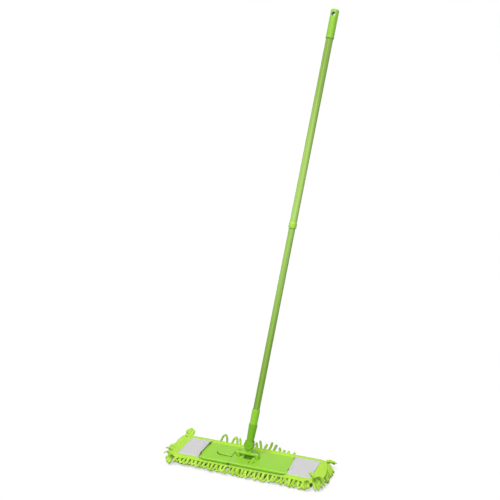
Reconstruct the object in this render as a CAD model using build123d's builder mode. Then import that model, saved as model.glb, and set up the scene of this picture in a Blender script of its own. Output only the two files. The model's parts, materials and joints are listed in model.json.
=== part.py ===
"""Flat floor mop: telescopic handle, two-axis joint, folding frame and chenille pocket pad.

Millimetres. The pad stands on Z = 0 with its middle at the origin. X runs along the pad,
-Y is the front and the handle leans back and to the right.
"""

import os
from math import cos, radians, sin

from build123d import *

os.makedirs("parts", exist_ok=True)

# Stance of the handle, in degrees
lean_back = 17.0
lean_right = 5.3

# Clearances
fit_gap = 0.05  # fixed fits and pins in their bores
slide_gap = 0.3  # faces that pass each other
seat_gap = 0.4  # loose cloth over the frame

# Handle, lengths along its axis
upper_tube_od = 22.0
lower_tube_od = 20.0
tube_wall = 0.6
socket_length = 62.0
ferrule_length = 45.0
ferrule_grip = 38.0
lower_tube_shown = 545.0
tube_overlap = 86.0
collar_length = 17.0
collar_wall = 1.3
collar_lip = 4.0
upper_tube_shown = 548.0
cap_length = 86.0
cap_grip = 46.0
cap_wall = 1.15
cap_rim = 6.0
cap_rim_step = 0.45
cap_dome = 4.0
cap_flat_depth = 2.6
cap_flat_length = 39.0
cap_seat_w = 1.6  # shoulder that the tube's top meets
cap_core_height = 14.0
hang_hole_r = 6.2
hang_hole_drop = 15.0

# Twist lock inside the tubes
spindle_plug = 24.0
spindle_plug_wall = 2.2
spindle_flange_t = 2.0
spindle_stem_r = 5.0
sleeve_length = 22.0
sleeve_slit = 2.0
spindle_head_r = 7.6
spindle_head_t = 3.0

# Ferrule, socket and two-axis joint
ferrule_top_r = 12.0
ferrule_foot_r = 11.4
ferrule_bevel = 1.6
spigot_r = 8.6
spigot_length = 28.0
socket_rim_r = 13.0
socket_rim_band = 4.0
socket_neck_r = 11.0
socket_neck_height = 13.0
ear_r = 13.4
ear_t = 6.2
tongue_r = 12.6
tongue_t = 9.0
tongue_foot_w = 18.0
joint_pin_r = 2.6
joint_pin_head_r = 4.2
joint_pin_head_t = 1.0
pin_rise = 26.6
bar_rise = 11.0
bar_r = 4.9

# Folding frame
plate_length = 400.0
plate_width = 100.0
plate_t = 12.0
skin_t = 3.0
wall_t = 2.6
rib_t = 2.0
rib_pitch = 40.0
edge_bevel = 2.4
end_corner_r = 14.0
window_length = 27.0
window_width = 26.0
slit_length = 16.0
slit_w = 1.8
slit_places = ((13.0, -28.0), (26.0, -24.0))  # drain slits in front of the joint
saddle_x = 29.0
saddle_w = 8.0
saddle_r = 6.7
saddle_foot_w = 15.0
saddle_mouth = 7.4
saddle_peg_r = 3.0
fold_x = -44.1
seam_gap = 0.4
lip_t = 3.2
knuckle_r = 3.5
knuckle_pitch = 10.0
hinge_inset = 3.0
hinge_pin_r = 1.5
hinge_setback = 4.2

# Foot pedal with its catch
pedal_inner_x = -48.0
pedal_length = 50.0
pedal_width = 32.0
pedal_depth = 5.0  # of the skirt below the plate's top
pedal_proud = 2.2  # above the plate at its inner end
pedal_slope = 3.4  # rise towards its outer end
pedal_wall = 2.4
pedal_gap = 1.7
pedal_pivot_x = -62.0
pedal_barrel_r = 3.2
pedal_pin_r = 1.5
well_floor_t = 2.0
keeper_r = 5.0
claw_w = 12.0
claw_t = 2.6
claw_tip = 5.4  # height of the claw's tip below its top
leaf_t = 0.6
leaf_w = 10.0
leaf_span = 24.0

# Chenille pad
pad_length = 448.0
pad_width = 146.0
pad_corner_r = 16.0
strand_height = 14.4
strand_w = 8.4
strand_pitch_x = 13.0
strand_pitch_y = 13.2
strand_rows = 11
strand_form = ((0, 0.7), (0.55, 1.0), (1, 0.8))  # shares of the way down and of the width
end_splay = 24.0
front_splay = 6.0
back_splay = 20.0
base_cloth_t = 0.8
backing_t = 2.4
binding_side = 19.5
binding_end = 16.0
binding_t = 5.4  # puffed up by its fold
pocket_depth = 69.0
pocket_cloth_t = 1.0
pocket_slope = 2.0  # lean of the pocket's sides
stray_height = 27.0
stray_w = 5.5
flipped_columns = {-1: (1, 2, 4), 1: (4, 6, 7)}  # counted from the fold line, back row

# Levels, from the floor up
cloth_top = strand_height + base_cloth_t
backing_top = cloth_top + backing_t
plate_bottom = backing_top + seat_gap
plate_top = plate_bottom + plate_t
fold_z = plate_bottom + knuckle_r
bar_z = plate_top + bar_rise

# Frames of the tongue and of the handle
along_pad = Vector(1, 0, 0)
tongue_dir = Vector(0, sin(radians(lean_back)), cos(radians(lean_back)))
pin_dir = Vector(0, cos(radians(lean_back)), -sin(radians(lean_back)))
handle_dir = along_pad * sin(radians(lean_right)) + tongue_dir * cos(radians(lean_right))
handle_right = along_pad * cos(radians(lean_right)) - tongue_dir * sin(radians(lean_right))
bar_centre = Vector(0, 0, bar_z)
pin_centre = bar_centre + tongue_dir * pin_rise
tongue_face = Plane(bar_centre, x_dir=along_pad, z_dir=pin_dir * -1)
handle_face = Plane(pin_centre, x_dir=handle_right, z_dir=pin_dir * -1)
handle_flank = Plane(pin_centre, x_dir=pin_dir, z_dir=pin_dir.cross(handle_dir))
handle_axis = Axis(pin_centre, handle_dir)

# Stations along the handle, from the joint pin
ferrule_top = socket_length + ferrule_length
lower_tube_foot = ferrule_top - ferrule_grip
collar_foot = ferrule_top + lower_tube_shown
collar_top = collar_foot + collar_length
lower_tube_top = collar_foot + tube_overlap
cap_foot = collar_top + upper_tube_shown
cap_top = cap_foot + cap_length
upper_tube_foot = collar_foot + collar_lip
upper_tube_top = cap_foot + cap_grip

upper_tube_r = upper_tube_od / 2
upper_bore_r = upper_tube_r - tube_wall
lower_tube_r = lower_tube_od / 2
lower_bore_r = lower_tube_r - tube_wall

# Upper handle: the outer tube, its cap with the hanging hole, and the guide collar
with BuildPart() as upper_tube:
    with BuildSketch(handle_face):
        with Locations((upper_bore_r, upper_tube_foot)):
            Rectangle(tube_wall, upper_tube_top - upper_tube_foot, align=Align.MIN)
    revolve(axis=handle_axis)

cap_r = upper_tube_r + fit_gap + cap_wall
with BuildPart() as hang_cap:
    with BuildSketch(handle_face):
        with BuildLine():
            Polyline(
                (0, upper_tube_top + cap_core_height),
                (upper_tube_r - cap_seat_w, upper_tube_top + cap_core_height),
                (upper_tube_r - cap_seat_w, upper_tube_top),
                (upper_tube_r + fit_gap, upper_tube_top),
                (upper_tube_r + fit_gap, cap_foot),
                (cap_r + cap_rim_step, cap_foot),
                (cap_r + cap_rim_step, cap_foot + cap_rim),
                (cap_r, cap_foot + cap_rim + cap_rim_step),
                (cap_r, cap_top - cap_dome),
            )
            RadiusArc((cap_r, cap_top - cap_dome), (cap_r - cap_dome, cap_top), -cap_dome)
            Polyline((cap_r - cap_dome, cap_top), (0, cap_top), (0, upper_tube_top + cap_core_height))
        make_face()
    revolve(axis=handle_axis)
    for side in (1, -1):
        with BuildSketch(handle_flank):
            with BuildLine():
                Polyline(
                    (side * (cap_r - cap_flat_depth), cap_top),
                    (side * 2 * cap_r, cap_top),
                    (side * 2 * cap_r, cap_top - cap_flat_length),
                    (side * cap_r, cap_top - cap_flat_length),
                    close=True,
                )
            make_face()
        extrude(amount=2 * cap_r, both=True, mode=Mode.SUBTRACT)
    with BuildSketch(handle_face):
        with Locations((0, cap_top - hang_hole_drop)):
            Circle(hang_hole_r)
    extrude(amount=2 * cap_r, both=True, mode=Mode.SUBTRACT)

collar_r = upper_tube_r + fit_gap + collar_wall
with BuildPart() as telescope_collar:
    with BuildSketch(handle_face):
        with BuildLine():
            Polyline(
                (lower_tube_r + slide_gap, collar_foot),
                (collar_r - collar_wall / 3, collar_foot),
                (collar_r, collar_foot + collar_length / 4),
                (collar_r, collar_top - collar_length / 4),
                (upper_tube_r + fit_gap + collar_wall / 3, collar_top),
                (upper_tube_r + fit_gap, collar_top),
                (upper_tube_r + fit_gap, upper_tube_foot),
                (lower_tube_r + slide_gap, upper_tube_foot),
                close=True,
            )
        make_face()
    revolve(axis=handle_axis)

# Lower handle: the inner tube with the spindle of the twist lock in its top
with BuildPart() as lower_tube:
    with BuildSketch(handle_face):
        with Locations((lower_bore_r, lower_tube_foot)):
            Rectangle(tube_wall, lower_tube_top - lower_tube_foot, align=Align.MIN)
    revolve(axis=handle_axis)

sleeve_foot = lower_tube_top + spindle_flange_t + slide_gap
sleeve_top = sleeve_foot + sleeve_length
with BuildPart() as lock_spindle:
    with BuildSketch(handle_face):
        with BuildLine():
            Polyline(
                (0, lower_tube_top - spindle_plug_wall),
                (lower_bore_r - fit_gap - spindle_plug_wall, lower_tube_top - spindle_plug_wall),
                (lower_bore_r - fit_gap - spindle_plug_wall, lower_tube_top - spindle_plug),
                (lower_bore_r - fit_gap, lower_tube_top - spindle_plug),
                (lower_bore_r - fit_gap, lower_tube_top),
                (lower_tube_r, lower_tube_top),
                (lower_tube_r, lower_tube_top + spindle_flange_t),
                (spindle_stem_r, lower_tube_top + spindle_flange_t),
                (spindle_stem_r, sleeve_top + slide_gap),
                (spindle_head_r, sleeve_top + slide_gap),
                (spindle_head_r, sleeve_top + slide_gap + spindle_head_t),
                (0, sleeve_top + slide_gap + spindle_head_t),
                close=True,
            )
        make_face()
    revolve(axis=handle_axis)

sleeve_r = upper_bore_r - slide_gap
with BuildPart() as expander_sleeve:
    with BuildSketch(handle_face):
        with Locations((spindle_stem_r + slide_gap, sleeve_foot)):
            Rectangle(sleeve_r - spindle_stem_r - slide_gap, sleeve_length, align=Align.MIN)
    revolve(axis=handle_axis)
    with BuildSketch(handle_face):
        with Locations((0, sleeve_foot)):
            Rectangle(sleeve_slit, sleeve_length, align=(Align.CENTER, Align.MIN))
    extrude(amount=2 * sleeve_r, mode=Mode.SUBTRACT)

# Ferrule: the moulded end of the lower tube, with the spigot that screws into the socket
with BuildPart() as tube_ferrule:
    with BuildSketch(handle_face):
        with BuildLine():
            Polyline(
                (0, socket_length - spigot_length),
                (spigot_r, socket_length - spigot_length),
                (spigot_r, socket_length),
                (ferrule_foot_r, socket_length),
                (ferrule_top_r, ferrule_top - ferrule_bevel),
                (ferrule_top_r - ferrule_bevel / 2, ferrule_top),
                (lower_tube_r + fit_gap, ferrule_top),
                (lower_tube_r + fit_gap, lower_tube_foot),
                (0, lower_tube_foot),
                close=True,
            )
        make_face()
    revolve(axis=handle_axis)

# Socket: a tapered cup that ends in a fork with two round ears
fork_gap_w = tongue_t + 2 * slide_gap
fork_w = fork_gap_w + 2 * ear_t
crotch_r = max(ear_r, tongue_r) + 2 * slide_gap
with BuildPart() as handle_socket:
    with BuildSketch(handle_face):
        with BuildLine():
            Polyline(
                (0, 0),
                (socket_neck_r, 0),
                (socket_neck_r, socket_neck_height),
                (socket_rim_r - fit_gap, socket_length - socket_rim_band),
                (socket_rim_r, socket_length - socket_rim_band),
                (socket_rim_r, socket_length),
                (0, socket_length),
                close=True,
            )
        make_face()
    revolve(axis=handle_axis)
    with BuildSketch(handle_face):
        Circle(ear_r)
        Rectangle(2 * socket_neck_r, socket_neck_height, align=(Align.CENTER, Align.MIN))
    extrude(amount=fork_w / 2, both=True)
    with BuildSketch(handle_face):
        Circle(crotch_r)
        with Locations((0, tongue_r + 2 * slide_gap)):
            Rectangle(4 * crotch_r, 4 * crotch_r, align=(Align.CENTER, Align.MAX))
    extrude(amount=fork_gap_w / 2, both=True, mode=Mode.SUBTRACT)
    with BuildSketch(handle_face):
        with Locations((0, socket_length - spigot_length - fit_gap)):
            Rectangle(spigot_r + fit_gap, spigot_length + 1, align=Align.MIN)
    revolve(axis=handle_axis, mode=Mode.SUBTRACT)
    with BuildSketch(handle_face):
        Circle(joint_pin_r + fit_gap)
    extrude(amount=fork_w, both=True, mode=Mode.SUBTRACT)

with BuildPart() as joint_pin:
    with BuildSketch(handle_face):
        Circle(joint_pin_r)
    extrude(amount=fork_w / 2 + joint_pin_head_t, both=True)
    for side in (1, -1):
        with BuildSketch(handle_face.offset(side * fork_w / 2)):
            Circle(joint_pin_head_r)
        extrude(amount=side * joint_pin_head_t)
    chamfer(joint_pin.edges().filter_by(GeomType.CIRCLE).group_by(SortBy.RADIUS)[-1]
            .sort_by(Axis(pin_centre, pin_dir))[0::3], joint_pin_head_t / 2)

# Tongue and cross bar in one moulding
bar_length = 2 * saddle_x + saddle_w
with BuildPart() as t_joint:
    with BuildSketch(tongue_face):
        with Locations((0, pin_rise)):
            Circle(tongue_r)
        with BuildLine():
            Polyline(
                (-tongue_foot_w / 2, 0),
                (tongue_foot_w / 2, 0),
                (tongue_r, pin_rise),
                (-tongue_r, pin_rise),
                close=True,
            )
        make_face()
    extrude(amount=tongue_t / 2, both=True)
    with BuildSketch(Plane.YZ):
        with Locations((0, bar_z)):
            Circle(bar_r)
    extrude(amount=bar_length / 2, both=True)
    with BuildSketch(tongue_face):
        with Locations((0, pin_rise)):
            Circle(joint_pin_r + fit_gap)
    extrude(amount=tongue_t, both=True, mode=Mode.SUBTRACT)


def wing_shell(side):
    """One wing as a bevelled tray, open below, ribbed, with a lip over the hinge line."""
    seam_x = fold_x + side * seam_gap / 2
    wall_x = fold_x + side * hinge_setback
    end_x = side * plate_length / 2
    with BuildPart() as shell:
        with BuildSketch(Plane.XY.offset(plate_bottom)) as outline:
            with Locations(((seam_x + end_x) / 2, 0)):
                Rectangle(abs(end_x - seam_x), plate_width)
            fillet(outline.vertices().sort_by(Axis.X)[::side][-2:], end_corner_r)
        extrude(amount=plate_t)
        rim = shell.faces().sort_by(Axis.Z)[-1].edges()
        seam_edge = rim.sort_by(Axis.X)[::side][0]
        chamfer([edge for edge in rim if edge != seam_edge], edge_bevel)
        with BuildSketch(Plane.XY.offset(plate_bottom)):
            with Locations(((seam_x + wall_x) / 2, 0)):
                Rectangle(abs(wall_x - seam_x), plate_width)
        extrude(amount=plate_t - lip_t, mode=Mode.SUBTRACT)
        with BuildSketch(Plane.XY.offset(plate_bottom)) as cavity:
            with Locations(((wall_x + end_x) / 2, 0)):
                Rectangle(abs(end_x - wall_x) - 2 * wall_t, plate_width - 2 * wall_t)
            fillet(cavity.vertices().sort_by(Axis.X)[::side][-2:], end_corner_r - wall_t)
        extrude(amount=plate_t - skin_t, mode=Mode.SUBTRACT)
        rib_run = abs(end_x - wall_x) - wall_t
        rib_count = int(rib_run / rib_pitch)
        with BuildSketch(Plane.XY.offset(plate_bottom + rib_t)):
            with Locations(((wall_x + end_x) / 2, 0)):
                with GridLocations(0, plate_width / 4, 1, 3):
                    Rectangle(rib_run, rib_t)
                with GridLocations(rib_run / (rib_count + 1), 0, rib_count, 1):
                    Rectangle(rib_t, plate_width - wall_t)
        extrude(amount=plate_t - skin_t - rib_t + fit_gap)
    return shell.part


def knuckle_rows(inner):
    """Places along the hinge line of one wing's knuckles: the inner or the outer ones."""
    zone_y = plate_width / 2 - hinge_inset - 1.5 * knuckle_pitch
    steps = (0,) if inner else (-1, 1)
    return [end * zone_y + step * knuckle_pitch for end in (-1, 1) for step in steps]


# Right wing: carries the joint's two saddles and the keeper for the pedal's catch
knuckle_length = knuckle_pitch - seam_gap
claw_r = keeper_r + slide_gap + fit_gap + claw_t
notch_half = claw_w / 2 + pedal_gap
right_shell = wing_shell(1)
with BuildPart() as right_wing:
    add(right_shell)
    with BuildSketch(Plane.XY.offset(plate_bottom)):
        Rectangle(window_length + 2 * wall_t, window_width + 2 * wall_t)
    extrude(amount=plate_t - skin_t)
    with BuildSketch(Plane.XY.offset(plate_bottom)):
        Rectangle(window_length, window_width)
    extrude(amount=plate_t, mode=Mode.SUBTRACT)
    with BuildSketch(Plane.XY.offset(plate_top - skin_t)):
        with GridLocations(2 * saddle_x, 0, 2, 1):
            Circle(saddle_peg_r + fit_gap)
        with Locations(*slit_places):
            Rectangle(slit_w, slit_length)
    extrude(amount=skin_t, mode=Mode.SUBTRACT)
    with BuildSketch(Plane.XY.offset(fold_z + slide_gap)):
        with Locations((fold_x, 0)):
            Rectangle(2 * (claw_r + pedal_gap), 2 * notch_half)
    extrude(amount=plate_t, mode=Mode.SUBTRACT)
    for row in knuckle_rows(inner=False):
        with BuildSketch(Plane.XZ.offset(-row - knuckle_length / 2)):
            with Locations((fold_x, fold_z)):
                Circle(knuckle_r)
                Rectangle(hinge_setback + fit_gap, 2 * knuckle_r, align=(Align.MIN, Align.CENTER))
                Circle(hinge_pin_r + fit_gap, mode=Mode.SUBTRACT)
        extrude(amount=knuckle_length)
    with BuildSketch(Plane.XZ.offset(-claw_w / 2)):
        with Locations((fold_x, fold_z)):
            Circle(keeper_r)
            Rectangle(hinge_setback + wall_t, knuckle_r, align=(Align.MIN, Align.MAX))
            with Locations((0, -knuckle_r)):
                Rectangle(4 * keeper_r, 2 * keeper_r, align=(Align.CENTER, Align.MAX), mode=Mode.SUBTRACT)
    extrude(amount=claw_w)


def bar_saddle(place):
    """An open cradle for the cross bar, on a foot with a peg in the plate."""
    with BuildPart() as saddle:
        with BuildSketch(Plane.YZ.offset(place - saddle_w / 2)):
            with BuildLine():
                Polyline(
                    (-saddle_foot_w / 2, plate_top),
                    (saddle_foot_w / 2, plate_top),
                    (saddle_r, bar_z),
                    (-saddle_r, bar_z),
                    close=True,
                )
            make_face()
            with Locations((0, bar_z)):
                Circle(saddle_r)
                Circle(bar_r + fit_gap, mode=Mode.SUBTRACT)
                Rectangle(saddle_mouth, 2 * saddle_r, align=(Align.CENTER, Align.MIN), mode=Mode.SUBTRACT)
        extrude(amount=saddle_w)
        with BuildSketch(Plane.XY.offset(plate_top - skin_t)):
            with Locations((place, 0)):
                Circle(saddle_peg_r)
        extrude(amount=skin_t)
    return saddle.part


# Saddles: the cross bar snaps into them from above
with BuildPart() as saddle_left:
    add(bar_saddle(-saddle_x))
with BuildPart() as saddle_right:
    add(bar_saddle(saddle_x))

# Left wing: carries the pedal in a well that opens towards the hinge line
pedal_pivot_z = plate_top - pedal_depth - fit_gap
well_floor = plate_bottom + well_floor_t


def pedal_outline(grow):
    """Plan of the pedal, square at the hinge and round at the far end, grown all round."""
    with BuildSketch() as plan:
        round_x = pedal_inner_x - pedal_length + pedal_width / 2
        with Locations((round_x, 0)):
            Circle(pedal_width / 2 + grow)
            Rectangle(pedal_inner_x - round_x + grow, pedal_width + 2 * grow, align=(Align.MIN, Align.CENTER))
    return plan.sketch


left_shell = wing_shell(-1)
with BuildPart() as left_wing:
    add(left_shell)
    with BuildSketch(Plane.XY.offset(plate_bottom)):
        add(pedal_outline(pedal_gap + wall_t))
        with Locations((fold_x - hinge_setback, 0)):
            Rectangle(plate_width, plate_width, align=(Align.MIN, Align.CENTER), mode=Mode.SUBTRACT)
    extrude(amount=plate_t - skin_t)
    with BuildSketch(Plane.XY.offset(well_floor)):
        add(pedal_outline(pedal_gap))
        with Locations((fold_x, 0)):
            Rectangle(2 * (fold_x - pedal_inner_x), 2 * notch_half)
    extrude(amount=plate_t, mode=Mode.SUBTRACT)
    with BuildSketch(Plane.XY.offset(plate_bottom)):
        with Locations((fold_x, 0)):
            Rectangle(2 * (keeper_r + 2 * slide_gap), 2 * notch_half)
    extrude(amount=plate_t, mode=Mode.SUBTRACT)
    with BuildSketch(Plane.XZ):
        with Locations((pedal_pivot_x, pedal_pivot_z)):
            Circle(pedal_pin_r + fit_gap)
    extrude(amount=pedal_width / 2 + pedal_gap + wall_t, both=True, mode=Mode.SUBTRACT)
    for row in knuckle_rows(inner=True):
        with BuildSketch(Plane.XZ.offset(-row - knuckle_length / 2)):
            with Locations((fold_x, fold_z)):
                Circle(knuckle_r)
                Rectangle(hinge_setback + fit_gap, 2 * knuckle_r, align=(Align.MAX, Align.CENTER))
                Circle(hinge_pin_r + fit_gap, mode=Mode.SUBTRACT)
        extrude(amount=knuckle_length)

with BuildPart() as release_pedal:
    with BuildSketch(Plane.XY.offset(plate_top - pedal_depth)):
        add(pedal_outline(0))
    extrude(amount=pedal_depth + pedal_proud + pedal_slope)
    with BuildSketch(Plane.XZ):
        with BuildLine():
            Polyline(
                (pedal_inner_x, plate_top + pedal_proud),
                (pedal_inner_x, plate_top + 2 * plate_t),
                (pedal_inner_x - pedal_length, plate_top + 2 * plate_t),
                (pedal_inner_x - pedal_length, plate_top + pedal_proud + pedal_slope),
                close=True,
            )
        make_face()
    extrude(amount=pedal_width, both=True, mode=Mode.SUBTRACT)
    chamfer(release_pedal.faces().sort_by(Axis.Z)[-1].edges(), pedal_proud / 2)
    with BuildSketch(Plane.XY.offset(plate_top - pedal_depth)):
        add(pedal_outline(-pedal_wall))
    extrude(amount=pedal_depth + pedal_proud - pedal_wall, mode=Mode.SUBTRACT)
    with BuildSketch(Plane.XZ):
        with Locations((pedal_pivot_x, pedal_pivot_z)):
            Circle(pedal_barrel_r)
            Rectangle(2 * pedal_barrel_r, pedal_depth + fit_gap, align=(Align.CENTER, Align.MIN))
    extrude(amount=pedal_width / 2 - pedal_wall, both=True)
    with BuildSketch(Plane.XZ):
        with Locations((fold_x, fold_z)):
            Circle(claw_r)
            Circle(claw_r - claw_t, mode=Mode.SUBTRACT)
            with Locations((0, claw_r - claw_tip)):
                Rectangle(4 * claw_r, 4 * claw_r, align=(Align.CENTER, Align.MAX), mode=Mode.SUBTRACT)
            Rectangle(2 * claw_r, 2 * claw_r, align=(Align.MAX, Align.CENTER), mode=Mode.SUBTRACT)
            with Locations((0, claw_r - claw_t)):
                Rectangle(fold_x - pedal_inner_x + pedal_wall / 2, claw_t, align=(Align.MAX, Align.MIN))
    extrude(amount=claw_w / 2, both=True)
    with BuildSketch(Plane.XZ):
        with Locations((pedal_pivot_x, pedal_pivot_z)):
            Circle(pedal_pin_r + fit_gap)
    extrude(amount=pedal_width, both=True, mode=Mode.SUBTRACT)

with BuildPart() as pedal_pin:
    with BuildSketch(Plane.XZ):
        with Locations((pedal_pivot_x, pedal_pivot_z)):
            Circle(pedal_pin_r)
    extrude(amount=pedal_width / 2 + pedal_gap + wall_t, both=True)

# Bowed leaf spring that lifts the pedal's outer end
leaf_x = pedal_inner_x - pedal_length + pedal_wall + leaf_span / 2 + pedal_gap
leaf_crown = plate_top + pedal_proud - pedal_wall - slide_gap
with BuildPart() as pedal_spring:
    with BuildSketch(Plane.XZ):
        with BuildLine() as bow:
            ThreePointArc(
                (leaf_x - leaf_span / 2, well_floor + leaf_t),
                (leaf_x, leaf_crown),
                (leaf_x + leaf_span / 2, well_floor + leaf_t),
            )
            ThreePointArc(
                (leaf_x - leaf_span / 2 + leaf_t, well_floor),
                (leaf_x, leaf_crown - leaf_t),
                (leaf_x + leaf_span / 2 - leaf_t, well_floor),
            )
            Line((leaf_x - leaf_span / 2, well_floor + leaf_t), (leaf_x - leaf_span / 2 + leaf_t, well_floor))
            Line((leaf_x + leaf_span / 2, well_floor + leaf_t), (leaf_x + leaf_span / 2 - leaf_t, well_floor))
        make_face()
    extrude(amount=leaf_w / 2, both=True)

# Hinge pins, one in each run of three knuckles
hinge_zone_y = sum(knuckle_rows(inner=True)[1:])
hinge_pin_length = 3 * knuckle_pitch - seam_gap
with BuildPart() as hinge_pin_front:
    with BuildSketch(Plane.XZ.offset(hinge_zone_y - hinge_pin_length / 2)):
        with Locations((fold_x, fold_z)):
            Circle(hinge_pin_r)
    extrude(amount=hinge_pin_length)
with BuildPart() as hinge_pin_back:
    with BuildSketch(Plane.XZ.offset(-hinge_zone_y - hinge_pin_length / 2)):
        with Locations((fold_x, fold_z)):
            Circle(hinge_pin_r)
    extrude(amount=hinge_pin_length)


def pad_half(side, length, width, corner_r):
    """A rounded rectangle about the pad's middle, kept on one side of the fold line."""
    with BuildSketch() as half:
        RectangleRounded(length, width, corner_r)
        with Locations((fold_x + side * seam_gap / 2, 0)):
            Rectangle(length, width, align=(Align.MIN if side > 0 else Align.MAX, Align.CENTER),
                      mode=Mode.INTERSECT)
    return half.sketch


# Pad cloth: a backing and an edge binding on each side of the fold line
binding_inner = (pad_length - 2 * binding_end, pad_width - 2 * binding_side)
with BuildPart() as pad_backing_left:
    with BuildSketch(Plane.XY.offset(cloth_top)):
        add(pad_half(-1, pad_length, pad_width, pad_corner_r))
    extrude(amount=backing_t)
with BuildPart() as pad_backing_right:
    with BuildSketch(Plane.XY.offset(cloth_top)):
        add(pad_half(1, pad_length, pad_width, pad_corner_r))
    extrude(amount=backing_t)
with BuildPart() as edge_binding_left:
    with BuildSketch(Plane.XY.offset(backing_top)):
        add(pad_half(-1, pad_length, pad_width, pad_corner_r))
        Rectangle(*binding_inner, mode=Mode.SUBTRACT)
    extrude(amount=binding_t)
with BuildPart() as edge_binding_right:
    with BuildSketch(Plane.XY.offset(backing_top)):
        add(pad_half(1, pad_length, pad_width, pad_corner_r))
        Rectangle(*binding_inner, mode=Mode.SUBTRACT)
    extrude(amount=binding_t)

# Pockets: white cloth sewn down on three sides, drawn over the ends of the plate
pocket_end = binding_inner[0] / 2 - seat_gap
pocket_mouth = pocket_end - pocket_depth
pocket_half = binding_inner[1] / 2 - seat_gap


def pocket_form(side, inset):
    """A pocket's outer form, or the room inside it when inset by the cloth."""
    foot_z = backing_top - inset
    top_z = plate_top + seat_gap + pocket_cloth_t - inset
    mouth_x = pocket_mouth - inset
    with BuildPart() as form:
        for level, lean in ((foot_z, 0), (top_z, pocket_slope)):
            with BuildSketch(Plane.XY.offset(level)) as section:
                end_x = pocket_end - inset - 2 * lean
                with Locations((side * (mouth_x + end_x) / 2, 0)):
                    Rectangle(end_x - mouth_x, 2 * (pocket_half - inset - lean))
                fillet(section.vertices().sort_by(Axis.X)[::side][-2:], end_corner_r - inset)
        loft(ruled=True)
    return form.part


with BuildPart() as pocket_left:
    add(pocket_form(-1, 0))
    add(pocket_form(-1, pocket_cloth_t), mode=Mode.SUBTRACT)
with BuildPart() as pocket_right:
    add(pocket_form(1, 0))
    add(pocket_form(1, pocket_cloth_t), mode=Mode.SUBTRACT)


def finger_profile(root, reach):
    """Side view of one finger, thickest halfway, from the base cloth down to the floor."""
    near_side = []
    far_side = []
    for share, width in strand_form:
        level = (strand_height + base_cloth_t / 2) * (1 - share)
        near_side.append((root + share * reach - width * strand_w / 2, level))
        far_side.append((root + share * reach + width * strand_w / 2, level))
    with BuildSketch() as profile:
        with BuildLine():
            Polyline(*near_side, *reversed(far_side), close=True)
        make_face()
    return profile.sketch


def chenille_strand(root_x, root_y):
    """One four-sided finger that splays out from the pad's middle to the floor."""
    side_splay = back_splay if root_y > 0 else front_splay
    with BuildPart() as strand:
        with BuildSketch(Plane.XZ):
            add(finger_profile(root_x, end_splay * root_x / (pad_length / 2)))
        extrude(amount=pad_width, both=True)
        with BuildSketch(Plane.YZ):
            add(finger_profile(root_y, side_splay * root_y / (pad_width / 2)))
        extrude(amount=pad_length, both=True, mode=Mode.INTERSECT)
    return strand.part


def flipped_strand(root_x):
    """A finger at the back edge that has turned up past the binding."""
    root_y = pad_width / 2 - stray_w
    outer_y = pad_width / 2 + seat_gap
    with BuildPart() as strand:
        with BuildSketch(Plane.YZ.offset(root_x - stray_w / 2)):
            with BuildLine():
                Polyline(
                    (root_y, strand_height + base_cloth_t / 2),
                    (root_y, strand_height - stray_w / 2),
                    (outer_y + stray_w / 2, strand_height - stray_w / 2),
                    (outer_y + 1.4 * stray_w, strand_height + stray_w / 2),
                    (outer_y + 2.4 * stray_w, backing_top + stray_height),
                    (outer_y + 1.4 * stray_w, backing_top + stray_height),
                    (outer_y, strand_height + base_cloth_t / 2),
                    close=True,
                )
            make_face()
        extrude(amount=stray_w)
    return strand.part


def strand_field(side):
    """All fingers on one side of the fold line, in rows across the pad, a few at the back turned up."""
    half_pitch = strand_pitch_x / 2
    room = pad_length / 2 - strand_w - side * fold_x
    columns = 1 + int((room - half_pitch) / strand_pitch_x)
    strands = []
    for column in range(columns):
        root_x = fold_x + side * (half_pitch + column * strand_pitch_x)
        for row in range(strand_rows):
            root_y = (row - (strand_rows - 1) / 2) * strand_pitch_y
            if row == strand_rows - 1 and column in flipped_columns[side]:
                strands.append(flipped_strand(root_x))
            else:
                strands.append(chenille_strand(root_x, root_y))
    return strands


# Chenille: rows of fingers on their base cloth
left_strands = strand_field(-1)
right_strands = strand_field(1)
with BuildPart() as chenille_left:
    with BuildSketch(Plane.XY.offset(strand_height)):
        add(pad_half(-1, pad_length, pad_width, pad_corner_r))
    extrude(amount=base_cloth_t)
    add(left_strands, clean=False)
with BuildPart() as chenille_right:
    with BuildSketch(Plane.XY.offset(strand_height)):
        add(pad_half(1, pad_length, pad_width, pad_corner_r))
    extrude(amount=base_cloth_t)
    add(right_strands, clean=False)

pieces = {
    "hang_cap": hang_cap,
    "upper_tube": upper_tube,
    "telescope_collar": telescope_collar,
    "expander_sleeve": expander_sleeve,
    "lock_spindle": lock_spindle,
    "lower_tube": lower_tube,
    "tube_ferrule": tube_ferrule,
    "handle_socket": handle_socket,
    "joint_pin": joint_pin,
    "t_joint": t_joint,
    "saddle_left": saddle_left,
    "saddle_right": saddle_right,
    "right_wing": right_wing,
    "left_wing": left_wing,
    "hinge_pin_front": hinge_pin_front,
    "hinge_pin_back": hinge_pin_back,
    "release_pedal": release_pedal,
    "pedal_pin": pedal_pin,
    "pedal_spring": pedal_spring,
    "pad_backing_left": pad_backing_left,
    "pad_backing_right": pad_backing_right,
    "edge_binding_left": edge_binding_left,
    "edge_binding_right": edge_binding_right,
    "pocket_left": pocket_left,
    "pocket_right": pocket_right,
    "chenille_left": chenille_left,
    "chenille_right": chenille_right,
}
for name, piece in pieces.items():
    piece.part.label = name
    export_step(piece.part, f"parts/{name}.step")
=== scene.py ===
import json
import random
from math import copysign, cos, pi, radians, sin

import bmesh
import bpy
import numpy as np
from mathutils import Euler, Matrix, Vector, noise


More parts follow.
